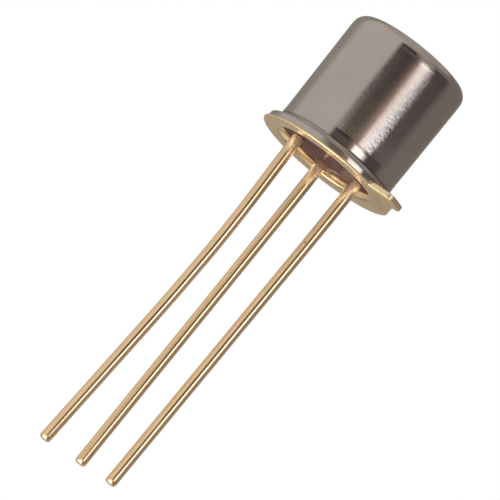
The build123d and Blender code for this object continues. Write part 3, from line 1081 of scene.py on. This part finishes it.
def make_stage():
    """Pale floor, and a small studio set: grey walls, a dark flag in front, a strip of soft light."""
    grid = bmesh.new()
    skin(grid, [circle(FLOOR_R / MM, 0, even_angles(96)), [(0, 0, 0)]])
    floor = new_piece("floor", grid)
    floor.location.z = FLOOR_Z
    paper = Material("floor_paper", Base_Color=(0.86, 0.86, 0.85, 1), Roughness=0.9)
    floor.data.materials.append(paper.material)
    left_side = [(-180, BACK_WALL), (-143, BACK_WALL), (-126, LEFT_EDGE), (-112, GREY_WALL)]
    right_side = [(92, OLIVE_WALL), (150, OLIVE_WALL), (165, BACK_WALL), (180, BACK_WALL)]

    def wall_band(name, low, high, *stops):
        """A band that ends in the grey wall on the left and the olive wall on the right."""
        band(name, low, high, *left_side, *stops, (81, (0.155, 0.122, 0.118)), *right_side)

    # overhead and above the flag
    band("ceiling", 55, 90, (-180, CEILING), (-100, CEILING), (0, CEILING), (60, HEAD_GREY), (180, CEILING))
    heads = [(-30, GREY_WALL), (-18, HEAD_GREY), (15, HEAD_GREY)]
    heads += [(30, (0.40, 0.34, 0.32)), (48, (0.27, 0.22, 0.22))]
    band("heads", 35, 55, *left_side, *heads, *right_side)
    front_top = [(-31, GREY_WALL), (-25, FLAG_LEFT), (0, FLAG), (12, (0.30, 0.24, 0.22))]
    strip_top = [(18, STRIP_HEAD), (40, STRIP_HEAD), (48, DUSKY), (73, DUSKY)]
    wall_band("strip_head", 21.5, 31, *front_top, *strip_top)
    flag_top = [(-31, GREY_WALL), (-24, (0.24, 0.20, 0.18)), (3, (0.22, 0.18, 0.16))]
    strip_edge = [(18, STRIP_HEAD), (40, STRIP_HEAD), (48, STRIP_SIDE), (73, STRIP_SIDE)]
    wall_band("flag_top", 31, 35, *flag_top, *strip_edge)
    # beside the can's wall and the flange
    front = [(-31.5, GREY_WALL), (-24.5, FLAG_LEFT), (-6, FLAG), (2, FLAG)]
    high_front = [(-31.5, GREY_WALL), (-24.5, HIGH_FLAG), (2, HIGH_FLAG)]
    lamp_rise = [(9, (0.16, 0.11, 0.095)), (15, (0.40, 0.28, 0.22))]
    lamp_side = [(50, DUSKY), (76, DUSKY)]
    top_lamp = [(22, SOFT_LAMP), (30, SOFT_LAMP), (39, LAMP_EDGE)]
    wall_band("top_lamp", 17.8, 21.5, *high_front, *lamp_rise, *top_lamp, *lamp_side)
    lamp = [(21, LAMP_WHITE), (38, LAMP_WHITE), (46, (0.40, 0.33, 0.32))]
    wall_band("lamp", 16.2, 17.8, *high_front, *lamp_rise, *lamp, *lamp_side)
    low_lamp = [(21, (1.70, 1.52, 1.42)), (31, (1.70, 1.54, 1.44)), (40, LAMP_EDGE)]
    wall_band("low_lamp", 14.6, 16.2, *front, *lamp_rise, *low_lamp, *lamp_side)
    soft_rise = [(9, (0.16, 0.105, 0.09)), (16, (0.38, 0.235, 0.19)), (23, (0.72, 0.53, 0.46))]
    soft_fall = [(30, (0.88, 0.75, 0.68)), (37, (0.58, 0.52, 0.47)), (42, (0.16, 0.13, 0.12))]
    wall_band("soft_strip", 10.1, 14.6, *front, *soft_rise, *soft_fall, *lamp_side)
    flange_front = [(-21, GREY_WALL), (-13, (0.29, 0.235, 0.185)), (-6, (0.29, 0.24, 0.175))]
    flange_front += [(2, (0.30, 0.245, 0.175)), (18.5, (0.30, 0.25, 0.175))]
    flange_lamp = [(22.5, LAMP_WHITE), (46, LAMP_WHITE), (51, (0.16, 0.13, 0.13))]
    flange_side = [(60, (0.20, 0.17, 0.17)), (76, (0.26, 0.23, 0.235))]
    wall_band("flange_strip", 7.6, 10.1, *flange_front, *flange_lamp, *flange_side)
    # beside the leads
    lead_left = [(-180, PALE_BACK), (-150, (0.45, 0.40, 0.36)), (-100, (0.68, 0.60, 0.53))]
    lead_front = [(-24, (0.76, 0.68, 0.61)), (-14, FLAG_LEFT), (7, FLAG_LEFT)]
    lead_rise = [(14, (0.36, 0.28, 0.23)), (21, (0.44, 0.34, 0.28))]
    lead_lamp = [(26, COOL_WHITE), (45, COOL_WHITE), (51, (0.27, 0.22, 0.195))]
    lead_right = [(100, (0.28, 0.235, 0.21)), (180, PALE_BACK)]
    band("lead_strip", -8.6, 7.6, *lead_left, *lead_front, *lead_rise, *lead_lamp, *lead_right)
    # below: bounce paper in front, dimmer to the right and under the object
    dim_right = [(24, (0.26, 0.20, 0.16)), (88, (0.24, 0.20, 0.16)), (150, (0.30, 0.27, 0.22))]
    foot = [(-180, BACK_WALL), (-134, GREY_WALL), (-40, (0.66, 0.58, 0.50)), (12, (0.60, 0.50, 0.42))]
    band("foot", -12, -8.6, *foot, *dim_right, (180, BACK_WALL))
    paper_side = [(-180, LOW_BACK), (-150, LOW_BACK), (-134, GREY_WALL)]
    far_paper = [(-68, GREY_WALL), (-56, PAPER_GLOW), (10, PAPER_GLOW)]
    far_right = [*dim_right[:2], (112, (0.80, 0.70, 0.58)), (180, LOW_BACK)]
    band("bounce_paper", -36, -12, *paper_side, *far_paper, *far_right)
    near_paper = [(-106, GREY_WALL), (-86, (1.2, 1.12, 1.0)), (-60, PAPER_GLOW), (10, PAPER_GLOW)]
    band("near_paper", -60, -36, *paper_side, *near_paper, *dim_right, (180, LOW_BACK))
    under = [(-180, FAR_GLOW), (-110, (1.0, 0.92, 0.80)), (-60, NEAR_GLOW), (22, NEAR_GLOW)]
    under_right = [(46, (0.55, 0.47, 0.38)), (110, (0.55, 0.48, 0.40)), (180, FAR_GLOW)]
    band("underfoot", -90, -60, *under, *under_right)


def make_world():
    """White where the camera and the reflections see past the stage, and a plain soft light elsewhere."""
    world = bpy.data.worlds.new("world")
    bpy.context.scene.world = world
    world.use_nodes = True
    tree = world.node_tree
    background = tree.nodes["Background"]
    path = tree.nodes.new("ShaderNodeLightPath")
    seen = path.outputs["Is Camera Ray"]
    for ray in ("Is Glossy Ray", "Is Transmission Ray"):
        either = tree.nodes.new("ShaderNodeMath")
        either.operation = "MAXIMUM"
        tree.links.new(seen, either.inputs[0])
        tree.links.new(path.outputs[ray], either.inputs[1])
        seen = either.outputs[0]
    strength = tree.nodes.new("ShaderNodeMapRange")
    strength.inputs["To Min"].default_value = 0.6
    strength.inputs["To Max"].default_value = 1.0
    tree.links.new(seen, strength.inputs["Value"])
    tree.links.new(strength.outputs["Result"], background.inputs["Strength"])
    background.inputs["Color"].default_value = (1, 1, 1, 1)


def make_lamps():
    """One broad soft lamp above, for the shadow on the floor."""
    data = bpy.data.lights.new("soft_lamp", "AREA")
    data.shape = "DISK"
    data.size = 0.25
    data.energy = 1.2
    lamp = bpy.data.objects.new("soft_lamp", data)
    lamp.location = side_direction(30, 55) * 0.5
    lamp.rotation_mode = "QUATERNION"
    lamp.rotation_quaternion = lamp.location.to_track_quat("Z", "Y")
    lamp.visible_glossy = False
    bpy.context.scene.collection.objects.link(lamp)


# ---- the object ----


def dress(piece, material, slot, *nodes):
    """Gives a piece its material, and puts it in place of its CAD nodes; the slot is not used."""
    piece.data.materials.clear()
    piece.data.materials.append(material)
    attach(piece, "root")
    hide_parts(*nodes)


def recolour(node, material):
    """A CAD piece keeps its mesh and takes a finished material."""
    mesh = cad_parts[node].data
    mesh.materials.clear()
    mesh.materials.append(material)
    mesh.update()


bpy.context.scene.view_settings.view_transform = "Standard"
make_camera()
make_world()
make_stage()
make_lamps()

dress(build_cap(), nickel(), "can_nickel", "cap")
dress(build_eyelet(), header_gold(), "header_gold", "header_eyelet")
dress(build_glass(), seal_glass(), "seal_glass", "glass_seal")
wire_plate = lead_gold()
for number in PIN_ANGLES:
    dress(build_lead(number), wire_plate, "lead_gold", f"lead_{number}")
recolour("ground_braze", plain_metal("braze", (0.72, 0.60, 0.40), (0.86, 0.74, 0.52), 0.35))
recolour("die_attach", plain_metal("die_attach_gold", (0.80, 0.62, 0.34), (0.92, 0.74, 0.44), 0.4))
recolour("die", silicon())
wire_gold = plain_metal("wire_gold", (0.92, 0.70, 0.32), (1.0, 0.80, 0.42), 0.2)
for number in PIN_ANGLES:
    recolour(f"bond_wire_{number}", wire_gold)
